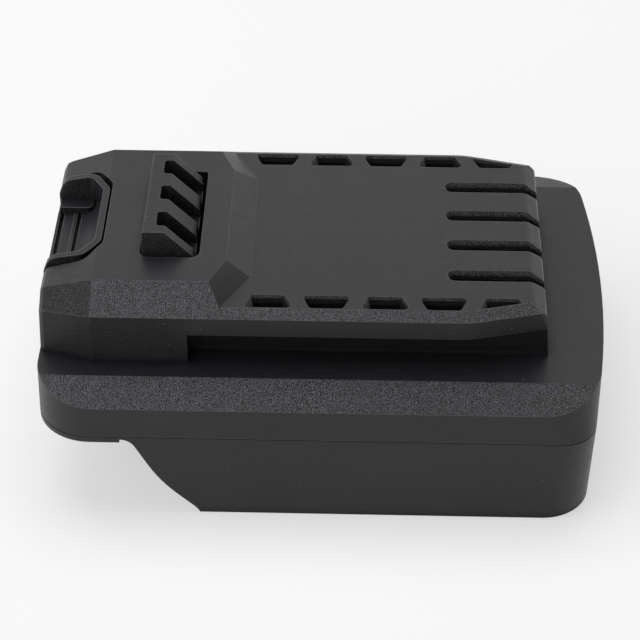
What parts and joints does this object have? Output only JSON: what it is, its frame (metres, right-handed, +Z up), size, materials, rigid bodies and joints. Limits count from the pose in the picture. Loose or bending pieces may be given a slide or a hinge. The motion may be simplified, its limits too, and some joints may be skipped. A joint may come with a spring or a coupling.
{
  "type": "tool battery adapter",
  "caption": "Adapter that slides onto a cordless tool's battery rail and takes a different slide-in battery pack underneath.",
  "frame": {"origin": "middle of the underside, on the surface that the adapter stands on", "axes": "+X towards the terminal slots, away from the release button; +Y across, away from the side seen in the picture; +Z up towards the tool rail"},
  "size_m": [0.1076, 0.08, 0.0468],
  "materials": {
    "housing_black": "fine spark-eroded texture",
    "latch_black": "satin moulded",
    "terminal_plastic": "satin moulded",
    "contact_metal": "tin plated",
    "board": "solder resist",
    "component": "moulded",
    "screw_steel": "zinc plated",
    "spring_steel": "drawn wire"
  },
  "bodies": {
    "housing": {"upper_shell": "housing_black", "lower_shell": "housing_black", "latch_spring_front": "spring_steel", "latch_spring_back": "spring_steel", "terminal_carrier": "terminal_plastic", "contact_clip_1": "contact_metal", "contact_clip_2": "contact_metal", "contact_clip_3": "contact_metal", "contact_clip_4": "contact_metal", "circuit_board": "board", "id_resistors": "component", "board_screws": "screw_steel", "blade_block": "terminal_plastic", "battery_blade_1": "contact_metal", "battery_blade_2": "contact_metal", "battery_blade_3": "contact_metal", "battery_blade_4": "contact_metal", "case_screws": "screw_steel"},
    "latch": {"latch_hook": "latch_black", "release_button": "latch_black"}
  },
  "joints": [
    {"name": "latch_press", "type": "slide", "parent": "housing", "child": "latch", "axis": [0, 0, -1], "range_m": [0, 0.005], "stiffness_N_per_m": 700, "springref_m": -0.004, "deforming": ["latch_spring_front", "latch_spring_back"]}
  ]
}
